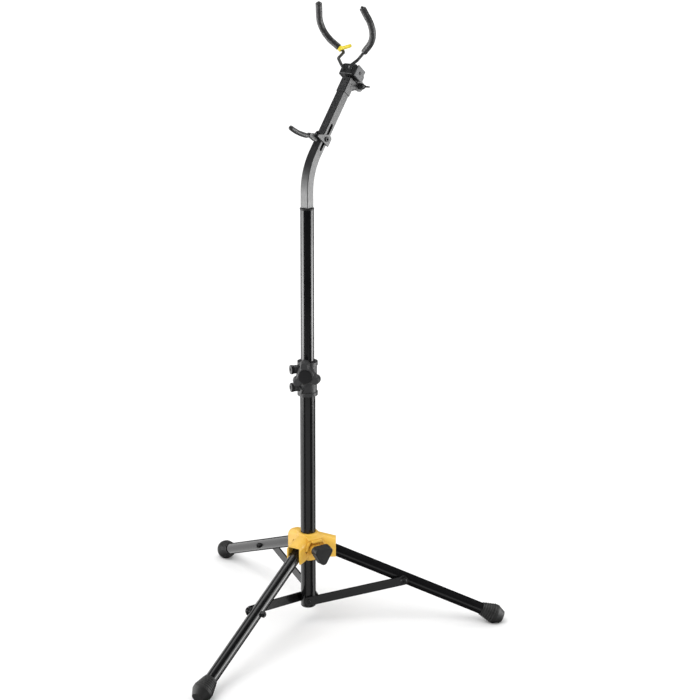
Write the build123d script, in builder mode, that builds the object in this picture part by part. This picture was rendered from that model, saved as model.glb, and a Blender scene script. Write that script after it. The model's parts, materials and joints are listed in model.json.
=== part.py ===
from build123d import *
import os
from math import atan2, cos, degrees, radians, sin, tan

# Saxophone stand: a folding tripod carries a telescopic mast, and the mast's bent
# square neck carries a body rest and a padded wire yoke. Millimetres, +Z up, floor at Z = 0.

# ---- tubes of the mast
lower_r = 12.7
lower_wall = 1.2
lower_bottom = 31.0
lower_top = 437.0
upper_r = 11.0
upper_wall = 1.2
upper_bottom = 320.0
upper_top = 719.0
slide_gap = 0.08          # radial clearance of a sliding fit
pin_gap = 0.05            # radial clearance of a pivot
seat_gap = 0.02           # radial clearance of a fastener in its own seat
rub_gap = 0.3             # air between faces that pass each other

# ---- tripod
leg_names = ("right", "rear", "front")
leg_angles = (0.0, 120.0, 240.0)
pivot_reach = 27.0        # leg pivot, from the mast's axis
pivot_height = 141.7
leg_slope = 23.5          # below the horizontal, legs open
leg_r = 10.0
leg_wall = 1.2
leg_head = 5.0            # tube beyond the pivot, towards the mast
leg_length = 324.0        # from the pivot to the tube's lower end
foot_start = 294.0        # rubber foot, from the pivot along the leg
foot_length = 39.5
foot_neck_r = 11.4
foot_flare_r = 16.6
foot_flare_at = 23.5
foot_cone_at = 27.0
foot_tip_r = 10.1
foot_ribs = 5
brace_bolt_at = 147.2     # along the leg, from the pivot
brace_root_height = 44.0
brace_width = 15.5
brace_thick = 3.0
bolt_r = 3.0

# ---- hub that slides on the lower tube
hub_base = 121.0
hub_top = 167.0
hub_core_r = 18.2
socket_reach = 47.0
socket_width = 26.6
socket_base = 126.0
socket_end_top = 157.0
socket_root = 8.0
channel_width = 20.8
channel_start = 15.6
channel_top = 153.2
pin_r = 2.5
hub_knob_angle = -60.0
hub_knob_height = 143.5

# ---- clutch at the top of the lower tube
clutch_base = 409.7
clutch_top = 467.2
clutch_r = 15.4
rim_r = 16.8
rim_height = 6.0
clutch_knob_height = 450.5
clutch_knob_angle = -95.0
clamp_angle = 200.0
clamp_heights = (424.5, 455.0)

# ---- neck: square tube, bent back
neck_side = 15.0
neck_wall = 1.5
neck_corner = 1.0
neck_base = 722.0
bend_start = 747.0
bend_radius = 96.0
bend_angle = 38.3
neck_azimuth = 51.0
neck_straight = 135.0
slot_from = 5.5
slot_to = 55.5
slot_width = 5.4

# ---- body rest on the neck
rest_at = 27.0
plate = 2.0
rest_rod_r = 2.0
rest_sleeve_r = 4.0

# ---- head at the neck's end
socket_from = 112.0
socket_to = 138.0
head_socket_side = 17.4
tilt_at = (140.0, -21.0)
ear_thick = 2.4
ear_lobe_r = 9.0
head_from = 141.5
head_to = 160.5
cheek_gap = 14.5          # half the space between the bracket's cheeks
block_front = 13.5
wire_r = 2.5
wire_spread = 7.25
sleeve_r = 5.3
yoke_at = (178.3, 16.9)
yoke_lean = 63.0          # from the neck's axis towards its upper side
yoke_foot = 19.3          # half the spacing of the arms at their feet
wire_at = 149.75
wire_root = -4.0
wire_rise = 21.0
wire_shoulder = (162.2, 22.8)
wire_shoulder_spread = 20.0
wire_bend = 4.0
wire_tip = 0.5
sleeve_setback = {"left": 11.0, "right": 4.0}
arm_rise = 24.0
arm_tilt = 42.0
arm_radius = 45.0
arm_sweep = 65.0
arm_end = {"left": 24.5, "right": 20.5}
latch_r = 4.8
latch_width = 5.2
latch_thick = 6.2
latch_deep = 5.2
latch_length = 24.0
latch_rise = 17.0
latch_soft = 2.0

# ---- derived
foot_reach = pivot_reach + (foot_start + foot_length) * cos(radians(leg_slope))
foot_reach += foot_tip_r * sin(radians(leg_slope))
axis_x = -(foot_reach - foot_reach * cos(radians(60)) - foot_tip_r * sin(radians(60))) / 2
brace_bolt_reach = pivot_reach + brace_bolt_at * cos(radians(leg_slope))
brace_bolt_height = pivot_height - brace_bolt_at * sin(radians(leg_slope))
brace_rise = brace_bolt_height - brace_root_height
brace_length = (brace_bolt_reach**2 + brace_rise**2) ** 0.5
brace_slope = degrees(atan2(brace_rise, brace_bolt_reach))
brace_face = lower_r + rub_gap        # inner face of a brace, from the leg's middle plane

os.makedirs("parts", exist_ok=True)


def save(piece, name):
    piece.label = name
    export_step(piece, f"parts/{name}.step")


def level(height):
    """Horizontal plane centred on the mast."""
    return Plane((axis_x, 0, height))


def heading(angle):
    return Vector(cos(radians(angle)), sin(radians(angle)), 0)


def upright(angle, side=0.0):
    """Vertical plane through the mast: X outwards, Y up, Z clockwise seen from above."""
    out = heading(angle)
    clockwise = heading(angle - 90)
    return Plane(Vector(axis_x, 0, 0) + clockwise * side, x_dir=out, z_dir=clockwise)


def outward(angle, height, reach=0.0):
    """Plane that faces outwards from the mast: X level, Y up."""
    out = heading(angle)
    return Plane(Vector(axis_x, 0, height) + out * reach, x_dir=heading(angle + 90), z_dir=out)


def leg_plane(angle):
    """X down the leg from its pivot, Y above the leg, Z clockwise."""
    out = heading(angle)
    pivot = Vector(axis_x, 0, pivot_height) + out * pivot_reach
    down = out * cos(radians(leg_slope)) - Vector(0, 0, sin(radians(leg_slope)))
    return Plane(pivot, x_dir=down, z_dir=heading(angle - 90))


def brace_plane(angle):
    """X along the brace from its root, Z clockwise, at the brace's inner face."""
    out = heading(angle)
    root = Vector(axis_x, 0, brace_root_height) + heading(angle - 90) * brace_face
    along = out * cos(radians(brace_slope)) + Vector(0, 0, sin(radians(brace_slope)))
    return Plane(root, x_dir=along, z_dir=heading(angle - 90))


# The bend lies in a vertical plane; neck coordinates are (along, above, across).
bend_plane = upright(neck_azimuth)
with BuildLine(bend_plane) as neck_line:
    neck_rise = Line((0, neck_base), (0, bend_start))
    neck_bend = JernArc(start=(0, bend_start), tangent=(0, 1), radius=bend_radius,
                        arc_size=-bend_angle)
    neck_run = PolarLine(neck_bend @ 1, neck_straight, 90 - bend_angle)

neck_dir = neck_run % 1
neck = Plane(neck_bend @ 1, x_dir=neck_dir, z_dir=heading(neck_azimuth - 90))


def on_neck(along, above, across=0.0):
    return neck.from_local_coords(Vector(along, above, across))


def rod(plane, radius, start, end):
    """Plain cylinder along a plane's normal, added to the part being built."""
    with BuildSketch(plane.offset(start)) as section:
        Circle(radius)
    extrude(section.sketch, amount=end - start)


def hexagon(plane, radius, start, end):
    with BuildSketch(plane.offset(start)) as section:
        RegularPolygon(radius, 6)
    extrude(section.sketch, amount=end - start)


def three_lobes(core, lobe, reach, turn):
    """Knob outline: a round core with three round lobes."""
    Circle(core)
    with PolarLocations(reach - lobe, 3, start_angle=turn):
        Circle(lobe)


def rounded_triangle(lobe, reach, turn):
    with PolarLocations(reach - lobe, 3, start_angle=turn):
        Circle(lobe)
    make_hull()


# ---- lower tube and what closes its end

with BuildPart() as lower_tube:
    with BuildSketch(level(lower_bottom + plate)):
        Circle(lower_r)
        Circle(lower_r - lower_wall, mode=Mode.SUBTRACT)
    extrude(amount=lower_top - lower_bottom - plate)
    for angle in leg_angles:
        with BuildSketch(outward(angle - 90, brace_root_height)):
            Circle(pin_r + seat_gap)
        extrude(amount=lower_r + plate, mode=Mode.SUBTRACT)
save(lower_tube.part, "lower_tube")

plug_depth = 34.0
rivet_root = 4.5
with BuildPart() as tube_end_plug:
    with BuildSketch(level(lower_bottom)):
        Circle(lower_r)
    extrude(amount=plate)
    chamfer(tube_end_plug.edges().group_by(Axis.Z)[0], plate / 2)
    with BuildSketch(level(lower_bottom + plate)):
        Circle(lower_r - lower_wall - seat_gap)
    extrude(amount=plug_depth)
    for angle in leg_angles:
        with BuildSketch(outward(angle - 90, brace_root_height, rivet_root - seat_gap)):
            Circle(pin_r + seat_gap)
        extrude(amount=lower_r, mode=Mode.SUBTRACT)
save(tube_end_plug.part, "tube_end_plug")

rivet_head_r = 4.2
rivet_head = 1.8
brace_outer = brace_face + brace_thick
with BuildPart() as brace_rivets:
    for angle in leg_angles:
        side = outward(angle - 90, brace_root_height)
        rod(side, pin_r, rivet_root, brace_outer + rub_gap / 3)
        rod(side, rivet_head_r, brace_outer + rub_gap / 3, brace_outer + rivet_head)
    heads = brace_rivets.edges().filter_by(GeomType.CIRCLE)
    heads = heads.filter_by(lambda e: abs(e.radius - rivet_head_r) < seat_gap)
    outer = [e for e in heads if (e.center() - Vector(axis_x, 0, brace_root_height)).length
             > brace_outer + rivet_head - seat_gap]
    chamfer(outer, rivet_head / 3)
save(brace_rivets.part, "brace_rivets")

# ---- legs, feet and braces

nut_r = 5.5
nut_height = 4.5
spacer_r = 6.5
head_r = 5.6
head_height = 3.4
rib_height = 0.9
foot_bore_end = 33.0

for name, angle in zip(leg_names, leg_angles):
    frame = leg_plane(angle)
    axis = Axis(frame.origin, frame.x_dir)
    bolt_place = Plane(frame.from_local_coords(Vector(brace_bolt_at, 0, 0)),
                       x_dir=frame.x_dir, z_dir=frame.z_dir)

    with BuildPart() as leg:
        with BuildSketch(frame):
            with Locations((leg_length / 2 - leg_head / 2, leg_r - leg_wall / 2)):
                Rectangle(leg_length + leg_head, leg_wall)
        revolve(axis=axis)
        with BuildSketch(frame.offset(-leg_r - plate)):
            Circle(pin_r + pin_gap)
            with Locations((brace_bolt_at, 0)):
                Circle(bolt_r + seat_gap)
        extrude(amount=2 * (leg_r + plate), mode=Mode.SUBTRACT)
    save(leg.part, f"leg_{name}")

    with BuildPart() as foot:
        with BuildSketch(frame) as foot_profile:
            with BuildLine():
                Polyline(
                    (foot_start, leg_r + seat_gap),
                    (foot_start, foot_neck_r),
                    (foot_start + rib_height * 3, foot_neck_r),
                    (foot_start + foot_flare_at, foot_flare_r),
                    (foot_start + foot_cone_at, foot_flare_r - rib_height / 9),
                    (foot_start + foot_length, foot_tip_r),
                    (foot_start + foot_length, 0),
                    (foot_start + foot_bore_end, 0),
                    (foot_start + foot_bore_end, leg_r + seat_gap),
                    close=True,
                )
            make_face()
            rib_pitch = (foot_flare_at - 4 * rib_height) / foot_ribs
            flare = (foot_flare_r - foot_neck_r) / (foot_flare_at - 3 * rib_height)
            for i in range(foot_ribs):
                along = 3 * rib_height + (i + 0.5) * rib_pitch
                with Locations((foot_start + along, foot_neck_r + flare * (along - 3 * rib_height))):
                    Circle(rib_height)
        revolve(axis=axis)
        split(bisect_by=Plane.XY, keep=Keep.TOP)
    save(foot.part, f"foot_{name}")

    with BuildPart() as leg_bolt:
        rod(bolt_place, bolt_r, -leg_r - nut_height - plate, brace_face - rub_gap)
        hexagon(bolt_place, nut_r, -leg_r - nut_height - seat_gap, -leg_r - seat_gap)
    save(leg_bolt.part, f"leg_bolt_{name}")

    with BuildPart() as leg_spacer:
        with BuildSketch(bolt_place.offset(leg_r - plate / 2)):
            Circle(spacer_r)
            Circle(bolt_r + seat_gap, mode=Mode.SUBTRACT)
        extrude(amount=brace_face - rub_gap - leg_r + plate / 2)
        with BuildSketch(Plane(frame.origin, z_dir=frame.x_dir)):
            Circle(leg_r + seat_gap)
        extrude(amount=leg_length, mode=Mode.SUBTRACT)
    save(leg_spacer.part, f"leg_spacer_{name}")

    bar = brace_plane(angle)
    with BuildPart() as brace:
        with BuildSketch(bar):
            with Locations((brace_length / 2, 0)):
                SlotCenterToCenter(brace_length, brace_width)
            Circle(pin_r + pin_gap, mode=Mode.SUBTRACT)
            with Locations((brace_length, 0)):
                Circle(bolt_r + seat_gap, mode=Mode.SUBTRACT)
        extrude(amount=brace_thick)
    save(brace.part, f"brace_{name}")

    bar_end = Plane(bar.from_local_coords(Vector(brace_length, 0, 0)),
                    x_dir=bar.x_dir, z_dir=bar.z_dir)
    with BuildPart() as brace_bolt:
        rod(bar_end, bolt_r, 0, brace_thick + seat_gap)
        rod(bar_end, head_r, brace_thick + seat_gap, brace_thick + head_height)
        chamfer(brace_bolt.edges().sort_by(Axis(bar_end.origin, bar_end.z_dir))[-1], plate / 2)
        with BuildSketch(bar_end.offset(brace_thick + head_height)):
            RegularPolygon(pin_r, 6)
        extrude(amount=-plate, mode=Mode.SUBTRACT)
    save(brace_bolt.part, f"brace_bolt_{name}")

# ---- hub: one moulding with a socket for each leg and a boss for the lock knob

boss_r = 10.5
boss_reach = 41.0
hub_knob_plane = outward(hub_knob_angle, hub_knob_height)
hub_nut_r = 7.5
hub_nut_from = 26.0
hub_nut_height = 6.5
stud_r = 4.0
pin_length = socket_width - 3.0

roof_reach = 28.0
roof_width = 27.0
roof_drop = 4.0
hood_r = 19.5
hood_wall = 3.0
brow_reach = 34.0
brow_width = 20.0
brow_thick = 3.0
arch_r = 10.0
pin_recess_r = 3.3


with BuildPart() as leg_hub:
    for angle in leg_angles:
        with BuildSketch(outward(angle, 0, socket_root)):
            with Locations((0, (hub_top + socket_base) / 2)):
                Rectangle(socket_width, hub_top - socket_base)
            fillet(vertices().group_by(Axis.Z)[-1], arch_r)
        fall = heading(angle) * (socket_reach - socket_root) - Vector(0, 0, hub_top - socket_end_top)
        extrude(amount=fall.length, dir=fall)
    with BuildSketch(level(socket_base)):
        Circle(2 * socket_reach)
    extrude(amount=-2 * socket_width, mode=Mode.SUBTRACT)
    with BuildSketch(level(hub_base)):
        Circle(hub_core_r)
    extrude(amount=hub_top - hub_base - plate)
    with BuildSketch(level(hub_top - plate)):
        Circle(hub_core_r)
    extrude(amount=plate, taper=45)
    with BuildSketch(upright(hub_knob_angle, -roof_width / 2)):
        with BuildLine():
            Polyline((lower_r, hub_top - 1), (roof_reach, hub_top - roof_drop),
                     (roof_reach, hub_top - roof_drop - plate), (lower_r, hub_top - 3 * roof_drop),
                     close=True)
        make_face()
    extrude(amount=roof_width)
    with BuildSketch(hub_knob_plane.offset(lower_r + plate)):
        Circle(hood_r)
        Circle(hood_r - hood_wall, mode=Mode.SUBTRACT)
        with Locations((0, -hood_r)):
            Rectangle(2 * hood_r, 2 * hood_r, mode=Mode.SUBTRACT)
    extrude(amount=roof_reach - lower_r - plate)
    rod(hub_knob_plane, boss_r, lower_r + plate, boss_reach)
    with BuildSketch(hub_knob_plane.offset(hub_core_r)):
        with Locations((0, hood_r - hood_wall)):
            SlotOverall(brow_width, brow_thick)
    extrude(amount=brow_reach - hub_core_r)
    with BuildSketch(level(hub_base - plate)):
        with PolarLocations((channel_start + 2 * socket_reach) / 2, len(leg_angles)):
            Rectangle(2 * socket_reach - channel_start, channel_width)
    extrude(amount=channel_top - hub_base + plate, mode=Mode.SUBTRACT)
    for angle in leg_angles:
        with BuildSketch(upright(angle, -pin_length / 2 - seat_gap)):
            with Locations((pivot_reach, pivot_height)):
                Circle(pin_r + seat_gap)
        extrude(amount=socket_width, mode=Mode.SUBTRACT)
        for side in (pin_length / 2, -socket_width / 2 - seat_gap):
            with BuildSketch(upright(angle, side)):
                with Locations((pivot_reach, pivot_height)):
                    Circle(pin_recess_r)
            extrude(amount=socket_width / 2 - pin_length / 2 + seat_gap, mode=Mode.SUBTRACT)
    with BuildSketch(hub_knob_plane.offset(hub_nut_from - seat_gap)):
        RegularPolygon(hub_nut_r + seat_gap * 2, 6)
    extrude(amount=hub_nut_height + 2 * seat_gap, mode=Mode.SUBTRACT)
    with BuildSketch(hub_knob_plane):
        Circle(stud_r + pin_gap)
    extrude(amount=boss_reach, mode=Mode.SUBTRACT)
    with BuildSketch(level(hub_base)):
        Circle(lower_r + slide_gap)
    extrude(amount=hub_top - hub_base, mode=Mode.SUBTRACT)
save(leg_hub.part, "leg_hub")

with BuildPart() as leg_pins:
    for angle in leg_angles:
        with BuildSketch(upright(angle, -pin_length / 2)):
            with Locations((pivot_reach, pivot_height)):
                Circle(pin_r)
        extrude(amount=pin_length)
save(leg_pins.part, "leg_pins")

with BuildPart() as hub_nut:
    hexagon(hub_knob_plane, hub_nut_r, hub_nut_from, hub_nut_from + hub_nut_height)
    with BuildSketch(hub_knob_plane.offset(hub_nut_from)):
        Circle(stud_r + pin_gap)
    extrude(amount=hub_nut_height, mode=Mode.SUBTRACT)
save(hub_nut.part, "hub_nut")

pad_end = 15.6
with BuildPart() as hub_pad:
    rod(hub_knob_plane, stud_r - seat_gap, 0, pad_end)
    with BuildSketch(level(hub_base)):
        Circle(lower_r + rub_gap)
    extrude(amount=hub_top - hub_base, mode=Mode.SUBTRACT)
save(hub_pad.part, "hub_pad")

knob_depth = 14.0
knob_base = boss_reach + 1.2
hub_knob_reach = 19.0
hub_lobe_r = 8.0
hub_knob_taper = 6
with BuildPart() as hub_knob:
    with BuildSketch(hub_knob_plane.offset(knob_base)):
        rounded_triangle(hub_lobe_r, hub_knob_reach, -90)
    extrude(amount=knob_depth, taper=hub_knob_taper)
    chamfer(hub_knob.faces().sort_by(Axis(hub_knob_plane.origin, hub_knob_plane.z_dir))[-1].edges(),
            plate / 2)
    with BuildSketch(hub_knob_plane.offset(knob_base)):
        Circle(stud_r + seat_gap)
    extrude(amount=knob_depth / 2, mode=Mode.SUBTRACT)
save(hub_knob.part, "hub_knob")

with BuildPart() as hub_knob_stud:
    rod(hub_knob_plane, stud_r, pad_end + rub_gap, knob_base + knob_depth / 2)
    chamfer(hub_knob_stud.edges().sort_by(Axis(hub_knob_plane.origin, hub_knob_plane.z_dir))[0],
            plate / 4)
save(hub_knob_stud.part, "hub_knob_stud")

# ---- clutch: collar clamped on the lower tube, lined for the upper tube

liner_r = 13.6
liner_from = lower_top + 1.0
liner_to = clutch_top - plate
clamp_boss_r = 7.0
clamp_boss_reach = 24.5
clamp_screw_r = 2.5
clamp_head_r = 7.6
clamp_head = 3.8
clamp_washer_r = 5.2
clamp_washer = 1.1
lug_angle = -138.0
lug_height = 420.0
lug_r = 5.6
lug_hole_r = 1.4
lug_deep = 3.5
clutch_boss_r = 9.0
clutch_boss_reach = 21.0
clutch_plane = outward(clutch_knob_angle, clutch_knob_height)
clutch_stud_r = 3.0
clutch_nut_r = 6.2
clutch_nut_from = 15.2
clutch_nut_height = 4.5
slit = 1.6

with BuildPart() as clutch_collar:
    with BuildSketch(level(clutch_base)):
        Circle(clutch_r)
    extrude(amount=clutch_top - clutch_base)
    for base in (clutch_base, clutch_top - rim_height):
        with BuildSketch(level(base)):
            Circle(rim_r)
        extrude(amount=rim_height)
    rod(clutch_plane, clutch_boss_r, 0, clutch_boss_reach)
    for height in clamp_heights:
        rod(outward(clamp_angle, height), clamp_boss_r, 0, clamp_boss_reach)
    with BuildSketch(upright(clamp_angle, -clamp_boss_r / 2)):
        with Locations((clutch_r, sum(clamp_heights) / 2)):
            Rectangle(2 * plate + 2, clamp_heights[1] - clamp_heights[0])
    extrude(amount=clamp_boss_r)
    lug_plane = outward(lug_angle, lug_height)
    rod(lug_plane, lug_r, 0, rim_r + plate / 2)
    with BuildSketch(lug_plane.offset(rim_r + plate / 2 - lug_deep)):
        Circle(lug_hole_r)
    extrude(amount=lug_deep, mode=Mode.SUBTRACT)
    with BuildSketch(level(clutch_base)):
        Circle(lower_r + seat_gap)
    extrude(amount=lower_top - clutch_base + seat_gap, mode=Mode.SUBTRACT)
    with BuildSketch(level(lower_top)):
        Circle(upper_r + 4 * slide_gap)
    extrude(amount=clutch_top - lower_top, mode=Mode.SUBTRACT)
    with BuildSketch(level(liner_from)):
        Circle(liner_r + seat_gap)
    extrude(amount=liner_to - liner_from + seat_gap, mode=Mode.SUBTRACT)
    with BuildSketch(clutch_plane):
        Circle(clutch_stud_r + pin_gap)
    extrude(amount=clutch_boss_reach, mode=Mode.SUBTRACT)
    with BuildSketch(clutch_plane.offset(clutch_nut_from - seat_gap)):
        RegularPolygon(clutch_nut_r + 2 * seat_gap, 6)
    extrude(amount=clutch_nut_height + 2 * seat_gap, mode=Mode.SUBTRACT)
    for height in clamp_heights:
        lug = outward(clamp_angle, height)
        with BuildSketch(lug.offset(lower_r + plate)):
            Circle(clamp_screw_r + seat_gap)
        extrude(amount=clamp_boss_reach, mode=Mode.SUBTRACT)
    with BuildSketch(level(clutch_base)):
        with Locations(Location((0, 0, 0), (0, 0, clamp_angle + 180))):
            with Locations((lower_r + clutch_r / 2, 0)):
                Rectangle(clutch_r, slit)
    extrude(amount=lower_top - clutch_base - rim_height, mode=Mode.SUBTRACT)
save(clutch_collar.part, "clutch_collar")

with BuildPart() as clutch_liner:
    with BuildSketch(level(liner_from + seat_gap)):
        Circle(liner_r)
        Circle(upper_r + slide_gap, mode=Mode.SUBTRACT)
    extrude(amount=liner_to - liner_from - seat_gap)
    with BuildSketch(clutch_plane):
        Circle(clutch_stud_r + pin_gap)
    extrude(amount=liner_r + plate, mode=Mode.SUBTRACT)
save(clutch_liner.part, "clutch_liner")

with BuildPart() as clamp_screws:
    for height in clamp_heights:
        lug = outward(clamp_angle, height)
        washer_end = clamp_boss_reach + seat_gap + clamp_washer
        rod(lug, clamp_screw_r, lower_r + plate + seat_gap, clamp_boss_reach + seat_gap)
        rod(lug, clamp_washer_r, clamp_boss_reach + seat_gap, washer_end)
        rod(lug, clamp_head_r, washer_end, washer_end + clamp_head)
        head_face = clamp_screws.faces().sort_by(Axis(lug.origin, lug.z_dir))[-1]
        fillet(head_face.edges(), clamp_head / 3)
        with BuildSketch(lug.offset(washer_end + clamp_head)):
            RegularPolygon(clamp_screw_r, 6)
        extrude(amount=-clamp_head / 2, mode=Mode.SUBTRACT)
save(clamp_screws.part, "clamp_screws")

with BuildPart() as clutch_nut:
    hexagon(clutch_plane, clutch_nut_r, clutch_nut_from, clutch_nut_from + clutch_nut_height)
    with BuildSketch(clutch_plane.offset(clutch_nut_from)):
        Circle(clutch_stud_r + pin_gap)
    extrude(amount=clutch_nut_height, mode=Mode.SUBTRACT)
save(clutch_nut.part, "clutch_nut")

clutch_knob_base = clutch_boss_reach + 1.2
clutch_knob_depth = 13.0
clutch_knob_reach = 25.5
clutch_lobe_r = 8.5
clutch_knob_turn = 97
clutch_knob_taper = 9
lobe_blend = 4.0
cap_r = 11.4
cap_height = 3.4
with BuildPart() as clutch_knob:
    with BuildSketch(clutch_plane.offset(clutch_knob_base)) as clutch_outline:
        three_lobes(cap_r + 2 * plate, clutch_lobe_r, clutch_knob_reach, clutch_knob_turn)
        fillet(clutch_outline.vertices(), lobe_blend)
    extrude(amount=clutch_knob_depth, taper=clutch_knob_taper)
    knob_face = clutch_knob.faces().sort_by(Axis(clutch_plane.origin, clutch_plane.z_dir))[-1]
    chamfer(knob_face.edges(), plate / 2)
    with BuildSketch(clutch_plane.offset(clutch_knob_base + clutch_knob_depth)):
        Circle(cap_r + seat_gap)
    extrude(amount=-plate, mode=Mode.SUBTRACT)
    with BuildSketch(clutch_plane.offset(clutch_knob_base)):
        Circle(clutch_stud_r + seat_gap)
    extrude(amount=clutch_knob_depth / 2, mode=Mode.SUBTRACT)
save(clutch_knob.part, "clutch_knob")

with BuildPart() as clutch_knob_cap:
    cap_base = clutch_knob_base + clutch_knob_depth - plate + seat_gap
    rod(clutch_plane, cap_r, cap_base, cap_base + cap_height)
    cap_face = clutch_knob_cap.faces().sort_by(Axis(clutch_plane.origin, clutch_plane.z_dir))[-1]
    fillet(cap_face.edges(), plate / 3)
save(clutch_knob_cap.part, "clutch_knob_cap")

with BuildPart() as clutch_knob_stud:
    rod(clutch_plane, clutch_stud_r, upper_r + rub_gap + plate / 4,
        clutch_knob_base + clutch_knob_depth / 2)
save(clutch_knob_stud.part, "clutch_knob_stud")

# ---- upper tube, the glide under it and the spigot that joins the neck

glide_length = 14.0
glide_spigot = 12.0
with BuildPart() as tube_glide:
    with BuildSketch(level(upper_bottom - glide_length)):
        Circle(lower_r - lower_wall - slide_gap)
    extrude(amount=glide_length - rub_gap)
    with BuildSketch(level(upper_bottom - rub_gap)):
        Circle(upper_r - upper_wall - pin_gap)
    extrude(amount=glide_spigot)
save(tube_glide.part, "tube_glide")

with BuildPart() as upper_tube:
    with BuildSketch(level(upper_bottom)):
        Circle(upper_r)
        Circle(upper_r - upper_wall, mode=Mode.SUBTRACT)
    extrude(amount=upper_top - upper_bottom)
save(upper_tube.part, "upper_tube")

spigot_length = 45.0
spigot_neck = neck_side - 2 * neck_wall - 2 * seat_gap
ring_r = upper_r + 0.5
with BuildPart() as tube_top_ring:
    with BuildSketch(level(upper_top + seat_gap)):
        Circle(ring_r)
        Circle(spigot_neck / 2 + plate, mode=Mode.SUBTRACT)
    extrude(amount=neck_base - upper_top - 2 * seat_gap)
    chamfer(tube_top_ring.edges().filter_by(GeomType.CIRCLE).group_by(SortBy.RADIUS)[-1], plate / 4)
save(tube_top_ring.part, "tube_top_ring")

neck_section = Plane((axis_x, 0, neck_base), x_dir=heading(neck_azimuth), z_dir=(0, 0, 1))
with BuildPart() as neck_spigot:
    with BuildSketch(level(upper_top - spigot_length)):
        Circle(upper_r - upper_wall - seat_gap)
    extrude(amount=spigot_length)
    with BuildSketch(neck_section.offset(upper_top - neck_base)):
        Rectangle(spigot_neck, spigot_neck)
        chamfer(vertices(), plate)
    extrude(amount=bend_start - upper_top - plate)
save(neck_spigot.part, "neck_spigot")

with BuildPart() as neck_tube:
    with BuildSketch(neck_section):
        RectangleRounded(neck_side, neck_side, neck_corner)
        Rectangle(neck_side - 2 * neck_wall, neck_side - 2 * neck_wall, mode=Mode.SUBTRACT)
    sweep(path=neck_line.line)
    with BuildSketch(neck.offset(-neck_side)):
        with Locations(((slot_from + slot_to) / 2, 0)):
            SlotOverall(slot_to - slot_from, slot_width)
    extrude(amount=2 * neck_side, mode=Mode.SUBTRACT)
save(neck_tube.part, "neck_tube")

# ---- body rest: a saddle that slides along the neck's slot and holds a padded rod

cheek_in = neck_side / 2 + rub_gap
cheek_out = cheek_in + plate
web_low = neck_side / 2 + rub_gap
saddle_low = rest_at - 7.5
saddle_high = rest_at + 9.0
cheek_bottom = -10.8
cheek_corner = (3.0, 2.8)     # of the cheek's lower front corner, along and above
cheek_front = -1.0            # where the slanted front edge starts
cheek_top = (4.5, 19.5)       # end of the slanted edge, from the saddle's lower end
cheek_back = 20.5
web_setback = 4.0
rest_screw_at = saddle_high - 7.0
rest_screw_r = 2.0
rest_ball_r = 3.3
rest_ball_rise = 5.0          # ball's centre above the saddle's web
rest_ball_room = 5.0
rod_start = (rest_at - 9.5, 22.0)
rod_run = 14.0
rod_heading = 115.0
rod_turn = -20.0
rod_curve = 125.0
fin_foot = 8.0                # fin that holds the rod, on the saddle's web
fin_step = (7.0, 17.0)
fin_top = ((rest_at - 9.0, 33.0), (rest_at - 14.5, 31.0))
fin_heel = (-5.5, 14.0)
rest_head_r = 4.2
rest_head = 1.8
rest_key_r = 2.2
rest_key_deep = 2.5
rest_nut_r = 4.6
rest_nut_height = 5.0
rest_bolt_end = 7.0

with BuildLine(neck) as rest_line:
    rest_root = PolarLine(rod_start, rod_run, rod_heading)
    rest_sweep = JernArc(start=(rest_root @ 1), tangent=rest_root % 1, radius=rod_curve,
                         arc_size=rod_turn)

with BuildPart() as rest_bracket:
    for start in (cheek_in, -cheek_out):
        with BuildSketch(neck.offset(start)):
            with BuildLine():
                Polyline((saddle_low, cheek_bottom), (saddle_high - cheek_corner[0], cheek_bottom),
                         (saddle_high, cheek_bottom + cheek_corner[1]), (saddle_high, cheek_front),
                         (saddle_low + cheek_top[0], cheek_top[1]), (saddle_low, cheek_back),
                         close=True)
            make_face()
        extrude(amount=plate)
    with BuildSketch(neck.offset(-cheek_out)):
        with Locations(((saddle_low + saddle_high - web_setback) / 2, web_low + plate / 2)):
            Rectangle(saddle_high - saddle_low - web_setback, plate)
    extrude(amount=2 * cheek_out)
    with BuildSketch(neck.offset(-1.5 * plate)):
        with BuildLine():
            Polyline((saddle_low, web_low), (saddle_low + fin_foot, web_low),
                     (saddle_low + fin_step[0], fin_step[1]), *fin_top,
                     (saddle_low + fin_heel[0], fin_heel[1]), close=True)
        make_face()
    extrude(amount=3 * plate)
    with BuildSketch(neck.offset(-neck_side)):
        with Locations((rest_at, 0)):
            Circle(pin_r + seat_gap)
    extrude(amount=2 * neck_side, mode=Mode.SUBTRACT)
    with BuildSketch(Plane(rest_root @ 0, z_dir=rest_root % 0)):
        Circle(rest_rod_r + seat_gap)
    extrude(amount=rod_start[1], mode=Mode.SUBTRACT)
    with BuildSketch(Plane(on_neck(rest_screw_at, 0), x_dir=neck_dir, z_dir=neck.y_dir)):
        Circle(rest_screw_r + pin_gap)
    extrude(amount=web_low + 2 * plate, mode=Mode.SUBTRACT)
    with BuildSketch(neck.offset(-2 * plate)):
        with Locations((rest_screw_at, web_low + plate + rest_ball_rise)):
            Circle(rest_ball_room)
    extrude(amount=4 * plate, mode=Mode.SUBTRACT)
save(rest_bracket.part, "rest_bracket")

rest_bolt_plane = Plane(on_neck(rest_at, 0), x_dir=neck_dir, z_dir=neck.z_dir)
with BuildPart() as rest_bolt:
    rod(rest_bolt_plane, pin_r, -cheek_out - rest_bolt_end, cheek_out + seat_gap)
    rod(rest_bolt_plane, rest_head_r, cheek_out + seat_gap, cheek_out + rest_head)
    with BuildSketch(rest_bolt_plane.offset(cheek_out + rest_head)):
        RegularPolygon(rest_key_r, 6)
    extrude(amount=-rest_key_deep, mode=Mode.SUBTRACT)
save(rest_bolt.part, "rest_bolt")

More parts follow.
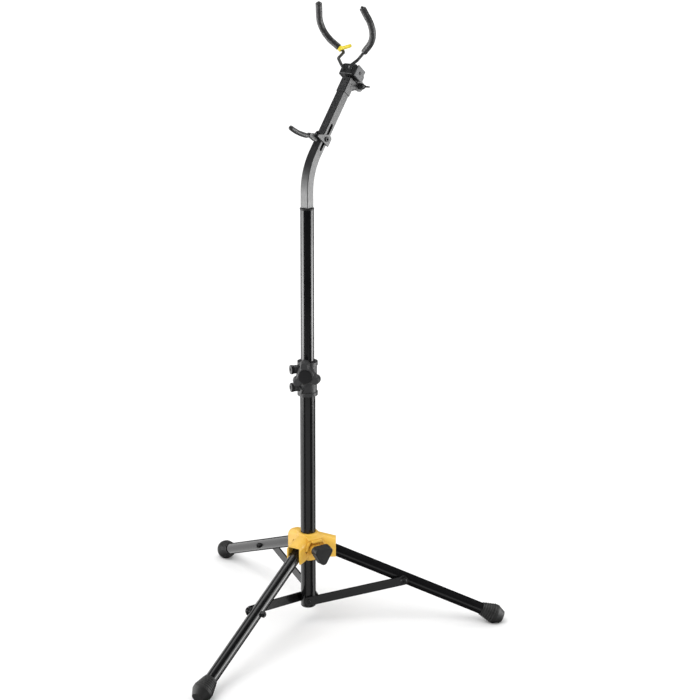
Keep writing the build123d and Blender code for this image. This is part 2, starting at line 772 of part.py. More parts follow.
with BuildPart() as rest_nut:
    hexagon(rest_bolt_plane, rest_nut_r, -cheek_out - rest_nut_height, -cheek_out - seat_gap)
    with BuildSketch(rest_bolt_plane.offset(-cheek_out - rest_nut_height)):
        Circle(pin_r + seat_gap)
    extrude(amount=rest_nut_height, mode=Mode.SUBTRACT)
save(rest_nut.part, "rest_nut")

rest_screw_plane = Plane(on_neck(rest_screw_at, 0), x_dir=neck_dir, z_dir=neck.y_dir)
ball_at = web_low + plate + rest_ball_rise
with BuildPart() as rest_screw:
    rod(rest_screw_plane, rest_screw_r, web_low + seat_gap, ball_at - rest_screw_r)
    with Locations(Location(rest_screw_plane.location * Location((0, 0, ball_at)))):
        Sphere(rest_ball_r)
save(rest_screw.part, "rest_screw")

with BuildPart() as rest_rod:
    with BuildSketch(Plane(rest_root @ 0, z_dir=rest_root % 0)):
        Circle(rest_rod_r)
    sweep(path=rest_line.line)
save(rest_rod.part, "rest_rod")

ring_width = 2.0
with BuildPart() as rest_ring:
    with BuildSketch(Plane(rest_root @ 1, z_dir=rest_root % 1).offset(-ring_width - rub_gap)):
        Circle(rest_sleeve_r - pin_r / 3)
        Circle(rest_rod_r + seat_gap, mode=Mode.SUBTRACT)
    extrude(amount=ring_width)
save(rest_ring.part, "rest_ring")

tip_length = 2.0
with BuildPart() as rest_sleeve:
    with BuildSketch(Plane(rest_root @ 1, z_dir=rest_root % 1)):
        Circle(rest_sleeve_r)
        Circle(rest_rod_r + seat_gap, mode=Mode.SUBTRACT)
    sweep(path=rest_sweep)
    with BuildSketch(Plane(rest_sweep @ 1, z_dir=rest_sweep % 1)):
        Circle(rest_sleeve_r)
    extrude(amount=tip_length)
    tip_face = rest_sleeve.faces().sort_by(Axis(rest_sweep @ 1, rest_sweep % 1))[-1]
    fillet(tip_face.edges(), tip_length - rub_gap)
save(rest_sleeve.part, "rest_sleeve")

# ---- head: a socket on the neck's end with two ears, and the tilting bracket between them

ear_heel = (15.0, 10.0)       # where the ears' back edge starts, from the socket's lower end
ear_drop = 1.0
half_side = head_socket_side / 2
with BuildPart() as head_socket:
    with BuildSketch(Plane(on_neck(socket_from, 0), x_dir=neck.y_dir, z_dir=neck_dir)):
        RectangleRounded(head_socket_side, head_socket_side, plate)
    extrude(amount=socket_to - socket_from)
    for start in (half_side - ear_thick, -half_side):
        with BuildSketch(neck.offset(start)):
            with BuildLine():
                Polyline((socket_to, 0), (socket_to, -half_side - ear_drop), tilt_at,
                         (socket_from + ear_heel[0], -half_side - ear_drop),
                         (socket_from + ear_heel[1], 0), close=True)
            make_face()
            with Locations(tilt_at):
                Circle(ear_lobe_r)
        extrude(amount=ear_thick)
    with BuildSketch(neck.offset(-half_side)):
        with Locations(tilt_at):
            Circle(bolt_r + seat_gap)
    extrude(amount=2 * half_side, mode=Mode.SUBTRACT)
    with BuildSketch(Plane(on_neck(socket_from, 0), x_dir=neck.y_dir, z_dir=neck_dir)):
        Rectangle(neck_side + 2 * seat_gap, neck_side + 2 * seat_gap)
    extrude(amount=neck_straight - socket_from + seat_gap, mode=Mode.SUBTRACT)
save(head_socket.part, "head_socket")

tilt_plane = Plane(on_neck(*tilt_at), x_dir=neck_dir, z_dir=neck.z_dir)
ear_in = half_side - ear_thick
web_above = -10.0
cheek_above = 10.5
tongue_r = 7.5
tongue_top = (1.0, 14.0)      # tongue's upper corner: back from the head's end, down from its web
tongue_foot = (6.0, 15.0)
tongue_inset = (3.0, 4.0)
rivet_spot = ((head_from + head_to) / 2, 0.5)
block_rivet_r = 1.6
with BuildPart() as tilt_bracket:
    for start in (cheek_gap, -cheek_gap - plate):
        with BuildSketch(neck.offset(start)):
            with Locations(((head_from + head_to) / 2, (web_above + cheek_above) / 2)):
                Rectangle(head_to - head_from, cheek_above - web_above)
        extrude(amount=plate)
    with BuildSketch(neck.offset(-cheek_gap - plate)):
        with Locations(((head_from + head_to) / 2, web_above + plate / 2)):
            Rectangle(head_to - head_from, plate)
    extrude(amount=2 * (cheek_gap + plate))
    with BuildSketch(neck.offset(-ear_in + rub_gap)):
        with Locations(tilt_at):
            Circle(tongue_r)
        with BuildLine():
            Polyline((head_from, web_above), (head_to - tongue_top[0], web_above),
                     (head_to - tongue_top[0], web_above - tongue_top[1]),
                     (head_from + tongue_foot[0], web_above - tongue_foot[1]),
                     (tilt_at[0] - tongue_inset[0], tilt_at[1] - tongue_inset[1]),
                     (tilt_at[0] - tongue_inset[0], tilt_at[1] + tongue_inset[1]), close=True)
        make_face()
    extrude(amount=2 * (ear_in - rub_gap))
    with BuildSketch(neck.offset(-ear_in)):
        with Locations(tilt_at):
            Circle(bolt_r + pin_gap)
    extrude(amount=2 * ear_in, mode=Mode.SUBTRACT)
    with BuildSketch(neck.offset(-2 * cheek_gap)):
        with Locations(rivet_spot):
            Circle(block_rivet_r + seat_gap)
    extrude(amount=4 * cheek_gap, mode=Mode.SUBTRACT)
save(tilt_bracket.part, "tilt_bracket")

tilt_head = 4.0
tilt_bolt_end = 8.0
with BuildPart() as tilt_bolt:
    rod(tilt_plane, bolt_r, -half_side - tilt_head, half_side + tilt_bolt_end)
    hexagon(tilt_plane, head_r, -half_side - tilt_head, -half_side - seat_gap)
save(tilt_bolt.part, "tilt_bolt")

wing_boss = 5.4
wing_boss_r = 5.2
wing_turn = -58.0
wing_span = 20.0
wing_height = 6.4
wing_width = 2.6
wing_root = 9.0
wing_key = 6.0                # square that the nut's hub keeps under its wings
wing_key_to = cheek_gap + plate + 0.8
wing_corner = 1.2
with BuildPart() as wing_nut:
    rod(tilt_plane, wing_boss_r, half_side + rub_gap, half_side + wing_boss)
    with BuildSketch(tilt_plane.offset(wing_key_to)):
        Rectangle(wing_key, wing_key)
    extrude(amount=-wing_key / 2)
    wing_place = tilt_plane.offset(half_side + wing_boss).location
    wing_face = Plane(wing_place * Location((0, 0, 0), (0, 0, wing_turn)))
    wing_side = Plane(wing_face.origin, x_dir=wing_face.x_dir, z_dir=-wing_face.y_dir)
    with BuildSketch(wing_side.offset(-wing_width / 2)):
        with Locations((0, wing_height / 2)):
            RectangleRounded(wing_span, wing_height + 2 * wing_corner, wing_corner)
        with Locations((0, wing_height + wing_corner)):
            Rectangle(wing_boss, wing_height, mode=Mode.SUBTRACT)
    extrude(amount=wing_width)
    with BuildSketch(wing_face.offset(-wing_boss / 2)):
        RectangleRounded(wing_root, wing_boss, wing_corner)
    extrude(amount=wing_boss)
    with BuildSketch(tilt_plane.offset(half_side)):
        Circle(bolt_r + pin_gap)
    extrude(amount=wing_span, mode=Mode.SUBTRACT)
save(wing_nut.part, "wing_nut")

block_low = web_above + plate + seat_gap
block_corner = 4.0
with BuildPart() as yoke_block:
    with BuildSketch(Plane(on_neck((head_from + head_to) / 2, block_low), x_dir=neck_dir,
                           z_dir=neck.y_dir)):
        RectangleRounded(head_to - head_from, 2 * (cheek_gap - seat_gap), block_corner)
    extrude(amount=block_front - block_low)
    front_face = yoke_block.faces().sort_by(Axis(neck.origin, neck.y_dir))[-1]
    chamfer(front_face.edges(), plate / 2)
    for side in (1, -1):
        with BuildSketch(Plane(on_neck(wire_at, wire_root), x_dir=neck_dir, z_dir=neck.y_dir)):
            with Locations((0, side * wire_spread)):
                Circle(wire_r + seat_gap)
        extrude(amount=block_front - wire_root, mode=Mode.SUBTRACT)
    with BuildSketch(neck.offset(-2 * cheek_gap)):
        with Locations(rivet_spot):
            Circle(block_rivet_r + seat_gap)
    extrude(amount=4 * cheek_gap, mode=Mode.SUBTRACT)
save(yoke_block.part, "yoke_block")

# ---- wire yoke: a bent wire and a foam sleeve on each side

rivet_shank = 4.0
rivet_cap = 0.8
with BuildPart() as yoke_rivets:
    for side in (1, -1):
        spot = on_neck(*rivet_spot, side * (cheek_gap - rivet_shank))
        shank = Plane(spot, x_dir=neck_dir, z_dir=neck.z_dir * side)
        rod(shank, block_rivet_r, 0, rivet_shank + plate + seat_gap)
        rod(shank, block_rivet_r + 1, rivet_shank + plate + seat_gap,
            rivet_shank + plate + rivet_cap)
save(yoke_rivets.part, "yoke_rivets")

yoke_frame = Plane(on_neck(*yoke_at), x_dir=neck.z_dir,
                   z_dir=neck.y_dir * cos(radians(yoke_lean)) - neck_dir * sin(radians(yoke_lean)))


def wire_corners(side):
    """Root in the block, top of the straight rise, shoulder, and foot of the padded arm."""
    return (
        on_neck(wire_at, wire_root, side * wire_spread),
        on_neck(wire_at, wire_rise, side * wire_spread),
        on_neck(*wire_shoulder, side * wire_shoulder_spread),
        yoke_frame.from_local_coords(Vector(side * yoke_foot, 0, 0)),
    )


def arm_heading(side):
    """Direction in which an arm leaves its foot."""
    return yoke_frame.x_dir * side * cos(radians(arm_tilt)) + yoke_frame.y_dir * sin(radians(arm_tilt))


def arm_path(side, before, tail):
    """Centre line through the points before the arm's bow, then round the bow to its end."""
    out = arm_heading(side)
    bow = wire_corners(side)[-1] + out * arm_rise
    with BuildLine(yoke_frame) as path:
        if len(before) == 1:
            Line(before[0], bow)
        else:
            FilletPolyline(*before, bow, radius=wire_bend)
        curve = JernArc(start=bow, tangent=out, radius=arm_radius, arc_size=side * arm_sweep)
        PolarLine(curve @ 1, tail, direction=curve % 1)
    return path.line


for name, side in (("left", -1), ("right", 1)):
    root, rise, shoulder, foot = wire_corners(side)
    out = arm_heading(side)
    sleeve_base = foot + out * sleeve_setback[name]

    with BuildPart() as wire:
        before = (root, rise, shoulder, foot)
        path = arm_path(side, before, arm_end[name] + wire_tip)
        with BuildSketch(Plane(root, z_dir=rise - root)):
            Circle(wire_r)
        sweep(path=path)
        with Locations(path @ 1):
            Sphere(wire_r)
    save(wire.part, f"yoke_wire_{name}")

    with BuildPart() as sleeve:
        path = arm_path(side, (sleeve_base,), arm_end[name])
        with BuildSketch(Plane(sleeve_base, z_dir=out)):
            Circle(sleeve_r)
            Circle(wire_r + seat_gap, mode=Mode.SUBTRACT)
        sweep(path=path)
    save(sleeve.part, f"yoke_sleeve_{name}")

# ---- latch: a finger that turns on the left wire and closes the yoke's mouth

latch_foot = wire_corners(-1)[-1]
latch_out = arm_heading(-1)
latch_base = latch_foot + latch_out * (sleeve_setback["left"] - rub_gap - latch_width)
latch_mid = latch_base + latch_out * latch_width / 2
finger = yoke_frame.x_dir * cos(radians(latch_rise)) + yoke_frame.y_dir * sin(radians(latch_rise))
with BuildPart() as yoke_latch:
    with BuildSketch(Plane(latch_base, x_dir=yoke_frame.z_dir, z_dir=latch_out)):
        Circle(latch_r)
    extrude(amount=latch_width)
    with BuildSketch(Plane(latch_mid, x_dir=yoke_frame.z_dir, z_dir=finger)):
        RectangleRounded(latch_thick, latch_deep, latch_soft)
    extrude(amount=latch_length)
    tip_face = yoke_latch.faces().sort_by(Axis(latch_mid, finger))[-1]
    fillet(tip_face.edges(), latch_soft / 2)
    with BuildSketch(Plane(latch_base - latch_out * latch_width, z_dir=latch_out)):
        Circle(wire_r + 2 * pin_gap)
    extrude(amount=3 * latch_width, mode=Mode.SUBTRACT)
save(yoke_latch.part, "yoke_latch")
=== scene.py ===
import json
import math

import bmesh
import bpy
from mathutils import Matrix, Vector, noise


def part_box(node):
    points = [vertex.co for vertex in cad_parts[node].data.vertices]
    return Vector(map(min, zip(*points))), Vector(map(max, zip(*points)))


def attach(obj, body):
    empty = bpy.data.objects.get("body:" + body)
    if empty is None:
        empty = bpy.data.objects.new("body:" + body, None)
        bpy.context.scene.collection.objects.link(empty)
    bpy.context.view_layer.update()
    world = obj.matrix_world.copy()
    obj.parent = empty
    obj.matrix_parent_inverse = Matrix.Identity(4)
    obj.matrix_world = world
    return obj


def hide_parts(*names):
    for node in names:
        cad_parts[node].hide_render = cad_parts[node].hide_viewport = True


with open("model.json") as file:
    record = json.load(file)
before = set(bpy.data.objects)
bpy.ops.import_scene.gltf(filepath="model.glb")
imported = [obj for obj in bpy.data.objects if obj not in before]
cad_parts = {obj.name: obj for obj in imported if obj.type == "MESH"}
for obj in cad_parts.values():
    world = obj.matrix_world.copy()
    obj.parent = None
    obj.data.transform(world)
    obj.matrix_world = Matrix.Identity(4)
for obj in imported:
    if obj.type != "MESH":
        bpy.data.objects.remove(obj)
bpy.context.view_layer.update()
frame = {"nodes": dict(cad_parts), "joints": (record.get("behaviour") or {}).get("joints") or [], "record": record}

# ---------------------------------------------------------------- frame data

NODES = frame["nodes"]
JOINTS = {joint["name"]: joint for joint in frame["joints"]}


def middle(node):
    low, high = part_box(node)
    return (Vector(low) + Vector(high)) / 2


AXIS_X = middle("lower_tube").x
ACROSS = -Vector(JOINTS["head_tilt"]["axis"]).normalized()
ALONG = Vector(JOINTS["rest_slide"]["axis"]).normalized()
ABOVE = Vector(JOINTS["rest_screw_turn"]["axis"]).normalized()
ARM_OUT = Vector(JOINTS["latch_turn"]["axis"]).normalized()
ARM_TILT = math.radians(42)
YOKE_UP = ((ARM_OUT + ACROSS * math.cos(ARM_TILT)) / math.sin(ARM_TILT)).normalized()
YOKE_HALF = 0.0193
YOKE_FOOT = Vector(JOINTS["latch_turn"]["pos_m"]) + ACROSS * YOKE_HALF
SCREW_FROM_ROOT = 0.029
NECK_ROOT = Vector(JOINTS["rest_screw_turn"]["pos_m"]) - ALONG * SCREW_FROM_ROOT

# ---------------------------------------------------------------- materials


def link(tree, a, b):
    tree.links.new(a, b)


def noise_node(tree, coords, scale, detail=3.0, rough=0.5):
    node = tree.nodes.new("ShaderNodeTexNoise")
    node.inputs["Scale"].default_value = scale
    node.inputs["Detail"].default_value = detail
    node.inputs["Roughness"].default_value = rough
    link(tree, coords, node.inputs["Vector"])
    return node.outputs["Fac"]


def ramp(tree, fac, stops):
    node = tree.nodes.new("ShaderNodeValToRGB")
    while len(node.color_ramp.elements) < len(stops):
        node.color_ramp.elements.new(0.5)
    for element, (place, colour) in zip(node.color_ramp.elements, stops):
        element.position = place
        element.color = (*colour, 1.0)
    link(tree, fac, node.inputs["Fac"])
    return node.outputs["Color"]


def span(tree, fac, low, high, low_in=0.3, high_in=0.7):
    node = tree.nodes.new("ShaderNodeMapRange")
    node.inputs["From Min"].default_value = low_in
    node.inputs["From Max"].default_value = high_in
    node.inputs["To Min"].default_value = low
    node.inputs["To Max"].default_value = high
    link(tree, fac, node.inputs["Value"])
    return node.outputs["Result"]


def edge_mask(tree, radius):
    """1 near convex and concave edges, 0 on open faces."""
    bevel = tree.nodes.new("ShaderNodeBevel")
    bevel.inputs["Radius"].default_value = radius
    geometry = tree.nodes.new("ShaderNodeNewGeometry")
    dot = tree.nodes.new("ShaderNodeVectorMath")
    dot.operation = "DOT_PRODUCT"
    link(tree, bevel.outputs["Normal"], dot.inputs[0])
    link(tree, geometry.outputs["Normal"], dot.inputs[1])
    return span(tree, dot.outputs["Value"], 1.0, 0.0, 0.86, 0.995)


def mix_colour(tree, fac, a, b):
    node = tree.nodes.new("ShaderNodeMix")
    node.data_type = "RGBA"
    link(tree, fac, node.inputs[0])
    for socket, value in ((node.inputs[6], a), (node.inputs[7], b)):
        if isinstance(value, tuple):
            socket.default_value = (*value, 1.0)
        else:
            link(tree, value, socket)
    return node.outputs[2]


def scaled(tree, fac, amount):
    node = tree.nodes.new("ShaderNodeMath")
    node.operation = "MULTIPLY"
    node.inputs[1].default_value = amount
    link(tree, fac, node.inputs[0])
    return node.outputs[0]


def surface(name, dark, light, rough, grain, grain_mm, wear=None, metallic=0.0, coat=0.0,
            coat_rough=0.1, cell=False, broad=14.0, sheen=0.0, specular=0.5, edge_mm=0.5):
    """One finish: broad colour drift, fine grain in roughness and relief, and worn edges."""
    material = bpy.data.materials.new(name)
    material.use_nodes = True
    tree = material.node_tree
    shader = tree.nodes["Principled BSDF"]
    coords = tree.nodes.new("ShaderNodeTexCoord").outputs["Object"]
    drift = noise_node(tree, coords, broad, 4.0, 0.6)
    speck = noise_node(tree, coords, 1.6 / (grain_mm * 0.001), 2.0, 0.6)
    colour = ramp(tree, drift, ((0.3, dark), (0.7, light)))
    if wear:
        mask = scaled(tree, edge_mask(tree, edge_mm * 0.001), 0.8)
        patch = noise_node(tree, coords, 90.0, 3.0, 0.7)
        worn = tree.nodes.new("ShaderNodeMath")
        worn.operation = "MULTIPLY"
        link(tree, mask, worn.inputs[0])
        link(tree, span(tree, patch, 0.2, 1.0, 0.35, 0.65), worn.inputs[1])
        colour = mix_colour(tree, worn.outputs[0], colour, wear)
    link(tree, colour, shader.inputs["Base Color"])
    smear = noise_node(tree, coords, broad * 5.0, 5.0, 0.65)
    link(tree, span(tree, smear, rough[0], rough[1]), shader.inputs["Roughness"])
    relief = speck
    if cell:
        voronoi = tree.nodes.new("ShaderNodeTexVoronoi")
        voronoi.inputs["Scale"].default_value = 1.0 / (grain_mm * 0.001)
        link(tree, coords, voronoi.inputs["Vector"])
        relief = voronoi.outputs["Distance"]
    bump = tree.nodes.new("ShaderNodeBump")
    bump.inputs["Strength"].default_value = grain
    bump.inputs["Distance"].default_value = grain_mm * 0.0004
    link(tree, relief, bump.inputs["Height"])
    rounded = tree.nodes.new("ShaderNodeBevel")
    rounded.inputs["Radius"].default_value = edge_mm * 0.0006
    link(tree, rounded.outputs["Normal"], bump.inputs["Normal"])
    link(tree, bump.outputs["Normal"], shader.inputs["Normal"])
    shader.inputs["Metallic"].default_value = metallic
    shader.inputs["Coat Weight"].default_value = coat
    shader.inputs["Coat Roughness"].default_value = coat_rough
    shader.inputs["Specular IOR Level"].default_value = specular
    shader.inputs["Sheen Weight"].default_value = sheen
    return material


GLOSS = surface("gloss_black_paint", (0.0045, 0.0045, 0.005), (0.0075, 0.0075, 0.008),
                (0.17, 0.21), 0.012, 1.6, wear=(0.03, 0.03, 0.031))
SATIN = surface("satin_powder_coat", (0.016, 0.0165, 0.0175), (0.024, 0.0245, 0.0255),
                (0.28, 0.36), 0.5, 0.5, wear=(0.07, 0.07, 0.072), specular=0.85)
ZINC = surface("zinc_plate", (0.1, 0.102, 0.105), (0.15, 0.152, 0.156), (0.42, 0.56), 0.3, 0.35,
               wear=(0.3, 0.3, 0.31), metallic=0.1)
SCREW = surface("black_oxide", (0.01, 0.01, 0.011), (0.02, 0.02, 0.021), (0.28, 0.42), 0.25, 0.3,
                wear=(0.12, 0.12, 0.12), metallic=0.3)
HUB = surface("hub_plastic", (0.76, 0.44, 0.05), (0.83, 0.51, 0.07), (0.38, 0.5), 0.35, 0.45,
              wear=(0.9, 0.62, 0.14), edge_mm=1.0)
LATCH = surface("latch_plastic", (0.76, 0.6, 0.006), (0.83, 0.67, 0.012), (0.34, 0.45), 0.25, 0.4,
                wear=(0.95, 0.86, 0.2), edge_mm=0.7)
PLASTIC = surface("black_plastic", (0.011, 0.0115, 0.012), (0.019, 0.0195, 0.02), (0.42, 0.56),
                  0.5, 0.4, wear=(0.06, 0.06, 0.062), edge_mm=0.7, specular=0.4)
RUBBER = surface("black_rubber", (0.01, 0.01, 0.01), (0.02, 0.02, 0.0195), (0.5, 0.66), 0.6,
                 0.5, wear=(0.05, 0.05, 0.049), edge_mm=0.9)
FOAM = surface("foam_sleeve", (0.016, 0.016, 0.0165), (0.028, 0.028, 0.029), (0.34, 0.46), 0.8,
               0.4, cell=True, sheen=0.15, broad=60.0, specular=0.75)
WIRE = surface("black_wire", (0.02, 0.0205, 0.021), (0.035, 0.0355, 0.036), (0.34, 0.46), 0.2, 0.3,
               wear=(0.12, 0.12, 0.12), specular=0.8)

KNOB = surface("knob_plastic", (0.026, 0.0265, 0.0275), (0.038, 0.0385, 0.04), (0.4, 0.52), 0.4,
               0.4, wear=(0.1, 0.1, 0.103), edge_mm=0.7)
CAP = surface("knob_cap", (0.006, 0.006, 0.0068), (0.012, 0.012, 0.013), (0.26, 0.38), 0.25, 0.4,
              wear=(0.03, 0.03, 0.032), edge_mm=0.5, specular=0.4)

SLOT_FINISH = {
    "gloss_black": GLOSS, "satin_black": SATIN, "zinc": ZINC, "black_screw": SCREW,
    "hub_yellow": HUB, "latch_yellow": LATCH, "black_plastic": PLASTIC,
    "rubber_black": RUBBER, "foam_black": FOAM,
}


def paint(obj, material):
    obj.data.materials.clear()
    obj.data.materials.append(material)


for part in frame["record"]["subparts"]:
    paint(NODES[part["node"]], SLOT_FINISH[part["material_slot"]])
OWN_FINISH = {
    "yoke_wire_left": WIRE, "yoke_wire_right": WIRE, "clutch_knob": KNOB,
    "clutch_knob_cap": CAP, "clutch_collar": KNOB,
}
for node, finish in OWN_FINISH.items():
    paint(NODES[node], finish)

# ---------------------------------------------------------------- foam sleeves


def along_arm(foot, out, turn_to, normal, straight, radius, sweep, tail, start, step):
    """Points and headings of a line, a tangent arc and a line, from start along the first."""
    length = (straight, radius * sweep, tail)
    total = sum(length)
    count = max(2, round((total - start) / step))
    rows = []
    for i in range(count + 1):
        s = start + (total - start) * i / count
        if s <= length[0]:
            rows.append((foot + out * s, out.copy()))
            continue
        angle = min((s - length[0]) / radius, sweep)
        centre = foot + out * length[0] + turn_to * radius
        turn = Matrix.Rotation(angle, 3, normal)
        heading = turn @ out
        place = centre - (turn @ turn_to) * radius
        rest = max(0.0, s - length[0] - length[1])
        rows.append((place + heading * rest, heading))
    return rows


FOAM_SIDES = 40
LIP_SHARE = 0.28          # how much of the radius a lip rounds off
BORE_DEPTH = 0.0025
SKIN_SCALE, SKIN_DEPTH = 160, 0.00022
PINCH_SCALE, PINCH_DEPTH = 420, 0.00012
FAR_AWAY = 1e9


def foam_sleeve(name, rows, side_dir, outer, bore, lip, closed_tip):
    """A foam tube along rows: softly rounded lips, faint squeeze rings and uneven skin."""
    around = FOAM_SIDES
    mesh = bpy.data.meshes.new(name)
    build = bmesh.new()
    total = len(rows) - 1
    step = (rows[1][0] - rows[0][0]).length
    rings = []
    for i, (place, heading) in enumerate(rows):
        side = (side_dir - heading * side_dir.dot(heading)).normalized()
        up = heading.cross(side)
        from_start, from_end = i * step, (total - i) * step
        edge = min(from_start, FAR_AWAY if closed_tip else from_end)
        swell = 1.0
        if edge < lip:
            bulge = math.sqrt(max(0.0, 1 - (1 - edge / lip) ** 2))
            swell = bulge * LIP_SHARE + 1 - LIP_SHARE
        if closed_tip and from_end < outer:
            swell = math.sqrt(max(0.0, 1 - (1 - from_end / outer) ** 2)) * 0.97 + 0.03
        ring = []
        for k in range(around):
            turn = 2 * math.pi * k / around
            out = side * math.cos(turn) + up * math.sin(turn)
            uneven = noise.noise(place * SKIN_SCALE + out * 0.9) * SKIN_DEPTH
            pinch = noise.noise(place * PINCH_SCALE) * PINCH_DEPTH
            ring.append(build.verts.new(place + out * (outer * swell + uneven + pinch)))
        rings.append(ring)
    for low, high in zip(rings, rings[1:]):
        for k in range(around):
            j = (k + 1) % around
            build.faces.new((low[k], low[j], high[j], high[k]))
    ends = [(rows[0], rings[0], True), (rows[-1], rings[-1], False)]
    for (place, heading), ring, first in ends:
        if closed_tip and not first:
            tip = build.verts.new(place + heading * outer * 0.01)
            for k in range(around):
                build.faces.new((ring[k], ring[(k + 1) % around], tip))
            continue
        side = (side_dir - heading * side_dir.dot(heading)).normalized()
        up = heading.cross(side)
        inner = []
        for depth in (0.0, BORE_DEPTH):
            sunk = place + heading * (depth if first else -depth)
            inner.append([build.verts.new(
                sunk + (side * math.cos(2 * math.pi * k / around)
                        + up * math.sin(2 * math.pi * k / around)) * bore)
                for k in range(around)])
        for low, high in ((ring, inner[0]), (inner[0], inner[1])):
            for k in range(around):
                j = (k + 1) % around
                build.faces.new((low[k], low[j], high[j], high[k]))
        build.faces.new(inner[1])
    bmesh.ops.recalc_face_normals(build, faces=build.faces)
    for face in build.faces:
        face.smooth = True
    build.to_mesh(mesh)
    build.free()
    obj = bpy.data.objects.new(name, mesh)
    bpy.context.scene.collection.objects.link(obj)
    paint(obj, FOAM)
    return obj


SLEEVE_R, WIRE_R = 0.0053, 0.00252
FOAM_STEP = 0.0005
YOKE_LIP, REST_LIP = 0.0014, 0.0011
ARM_STRAIGHT, ARM_RADIUS, ARM_SWEEP = 0.024, 0.045, math.radians(65)
ARM_TAIL = {"left": 0.0245, "right": 0.0205}
SLEEVE_START = {"left": 0.011, "right": 0.004}
for name, side in (("left", -1), ("right", 1)):
    out = ACROSS * side * math.cos(ARM_TILT) + YOKE_UP * math.sin(ARM_TILT)
    inward = -ACROSS * side * math.sin(ARM_TILT) + YOKE_UP * math.cos(ARM_TILT)
    normal = out.cross(inward)
    foot = YOKE_FOOT + ACROSS * side * YOKE_HALF
    rows = along_arm(foot, out, inward, normal, ARM_STRAIGHT, ARM_RADIUS, ARM_SWEEP,
                     ARM_TAIL[name], SLEEVE_START[name], FOAM_STEP)
    sleeve = foam_sleeve(f"yoke_foam_{name}", rows, normal, SLEEVE_R, WIRE_R, YOKE_LIP,
                         False)
    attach(sleeve, "head")
    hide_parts(f"yoke_sleeve_{name}")

REST_HEADING = math.radians(115)
REST_ALONG, REST_ABOVE, REST_GAP = 0.0175, 0.022, 0.014
REST_R, REST_BORE = 0.004, 0.00202
REST_TAIL = 0.002
rest_out = ALONG * math.cos(REST_HEADING) + ABOVE * math.sin(REST_HEADING)
rest_foot = NECK_ROOT + ALONG * REST_ALONG + ABOVE * REST_ABOVE + rest_out * REST_GAP
rest_in = ALONG * math.sin(REST_HEADING) - ABOVE * math.cos(REST_HEADING)
REST_RADIUS, REST_SWEEP = 0.125, math.radians(20)
rows = along_arm(rest_foot, rest_out, rest_in, rest_out.cross(rest_in), 0.0, REST_RADIUS,
                 REST_SWEEP, REST_TAIL, 0.0, FOAM_STEP)
sleeve = foam_sleeve("rest_foam", rows, ACROSS, REST_R, REST_BORE, REST_LIP, True)
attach(sleeve, "rest")
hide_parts("rest_sleeve")

# ---------------------------------------------------------------- stage, light and camera


def flat_square(name, half, height):
    mesh = bpy.data.meshes.new(name)
    mesh.from_pydata([(-half, -half, height), (half, -half, height), (half, half, height),
                      (-half, half, height)], [], [(0, 1, 2, 3)])
    obj = bpy.data.objects.new(name, mesh)
    bpy.context.scene.collection.objects.link(obj)
    return obj


FLOOR_HALF, FLOOR_DROP = 40.0, 0.0002
floor = flat_square("studio_floor", FLOOR_HALF, -FLOOR_DROP)
floor_paint = bpy.data.materials.new("floor_paint")
floor_paint.use_nodes = True
floor_shader = floor_paint.node_tree.nodes["Principled BSDF"]
floor_shader.inputs["Base Color"].default_value = (0.93, 0.93, 0.93, 1)
floor_shader.inputs["Roughness"].default_value = 0.9
floor_shader.inputs["Specular IOR Level"].default_value = 0.0
floor.data.materials.append(floor_paint)

floor.visible_glossy = False

world = bpy.data.worlds.new("studio_world")
world.use_nodes = True
world.node_tree.nodes["Background"].inputs["Color"].default_value = (1, 1, 1, 1)
world.node_tree.nodes["Background"].inputs["Strength"].default_value = 1.0
world.cycles_visibility.glossy = False
bpy.context.scene.world = world


def panel(name, place, target, size, size_y, radiance):
    """A soft panel that shows only in glossy reflections, as bright as asked."""
    light = bpy.data.lights.new(name, "AREA")
    light.shape = "RECTANGLE"
    light.size, light.size_y = size, size_y
    light.energy = radiance * math.pi * size * size_y
    obj = bpy.data.objects.new(name, light)
    bpy.context.scene.collection.objects.link(obj)
    obj.location = place
    obj.rotation_euler = (Vector(target) - Vector(place)).to_track_quat("-Z", "Y").to_euler()
    obj.visible_diffuse = False
    obj.visible_camera = False
    return obj


PANEL_AWAY = 1.6
BANDS = (("floor", -0.9, -0.04, 1.4), ("foot", -0.04, 0.3, 9.5), ("middle", 0.3, 0.5, 6.5),
         ("head", 0.5, 1.1, 3.3))
PANEL_WIDTH, FILL_WIDTH = 1.25, 2.3


def level_direction(azimuth):
    angle = math.radians(azimuth)
    return Vector((math.cos(angle), math.sin(angle), 0))


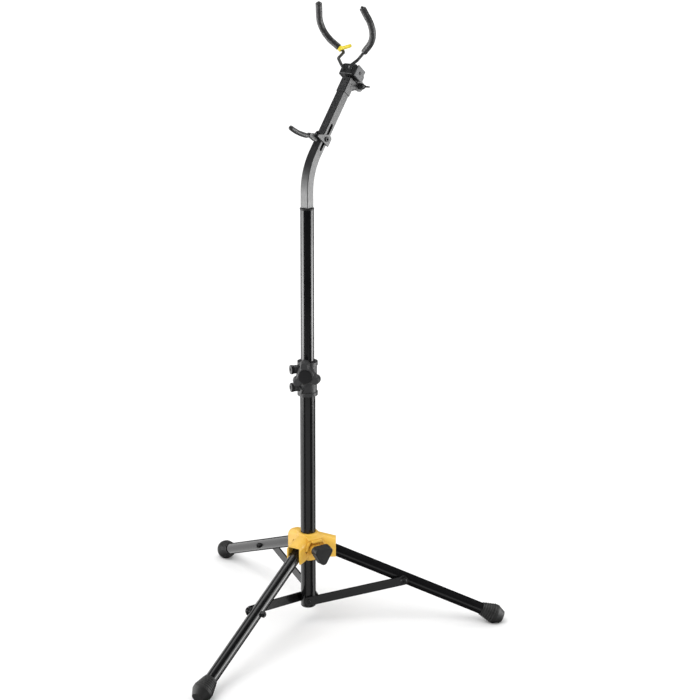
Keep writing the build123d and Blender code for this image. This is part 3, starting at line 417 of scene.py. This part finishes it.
for name, azimuth in (("left", 187), ("right", 4)):
    out = level_direction(azimuth)
    place = Vector((AXIS_X, 0, 0)) + out * PANEL_AWAY
    for part, low, high, radiance in BANDS:
        centre = place + Vector((0, 0, (low + high) / 2))
        panel(f"{name}_{part}", centre, centre - out, PANEL_WIDTH, high - low, radiance)
FILLS = (("rear_fill", 140, 2.0, -2.6, 1.3, 1.3), ("front_low", 270, 1.6, -0.9, -0.02, 0.6))
for name, azimuth, away, low, high, radiance in FILLS:
    out = level_direction(azimuth)
    centre = Vector((AXIS_X, 0, (low + high) / 2)) + out * away
    panel(name, centre, centre - out, FILL_WIDTH, high - low, radiance)
OVERHEAD_PLACE, OVERHEAD_TARGET = (-0.1, 1.0, 2.6), (-0.08, 0.0, 0.3)
panel("overhead", OVERHEAD_PLACE, OVERHEAD_TARGET, 2.4, 1.6, 2.6)

sun = bpy.data.lights.new("soft_sun", "SUN")
sun.energy = 1.0
sun.angle = math.radians(35)
sun_holder = bpy.data.objects.new("soft_sun", sun)
bpy.context.scene.collection.objects.link(sun_holder)
SUN_DIRECTION = Vector((0.35, 0.45, -1.0))
sun_holder.rotation_euler = SUN_DIRECTION.to_track_quat("-Z", "Y").to_euler()
sun_holder.visible_glossy = False

CAMERA_PLACE = Vector((AXIS_X + 0.0470, -2.5260, 1.2236))
CAMERA_HEADING, CAMERA_DROP = math.radians(89.49), math.radians(16.28)
CAMERA_ROLL = math.radians(0.238)
forward = Vector((math.cos(CAMERA_HEADING) * math.cos(CAMERA_DROP),
                  math.sin(CAMERA_HEADING) * math.cos(CAMERA_DROP), -math.sin(CAMERA_DROP)))
right = Vector((math.sin(CAMERA_HEADING), -math.cos(CAMERA_HEADING), 0.0))
up = right.cross(forward)
right, up = (right * math.cos(CAMERA_ROLL) + up * math.sin(CAMERA_ROLL),
             up * math.cos(CAMERA_ROLL) - right * math.sin(CAMERA_ROLL))
lens = bpy.data.cameras.new("camera")
LENS_MM, SENSOR_MM, CLIP_END = 82.8, 36.0, 100.0
lens.lens, lens.sensor_width = LENS_MM, SENSOR_MM
lens.clip_end = CLIP_END
camera = bpy.data.objects.new("camera", lens)
bpy.context.scene.collection.objects.link(camera)
camera.matrix_world = Matrix((
    (right.x, up.x, -forward.x, CAMERA_PLACE.x),
    (right.y, up.y, -forward.y, CAMERA_PLACE.y),
    (right.z, up.z, -forward.z, CAMERA_PLACE.z),
    (0, 0, 0, 1)))
bpy.context.scene.camera = camera
bpy.context.scene.view_settings.view_transform = "Standard"
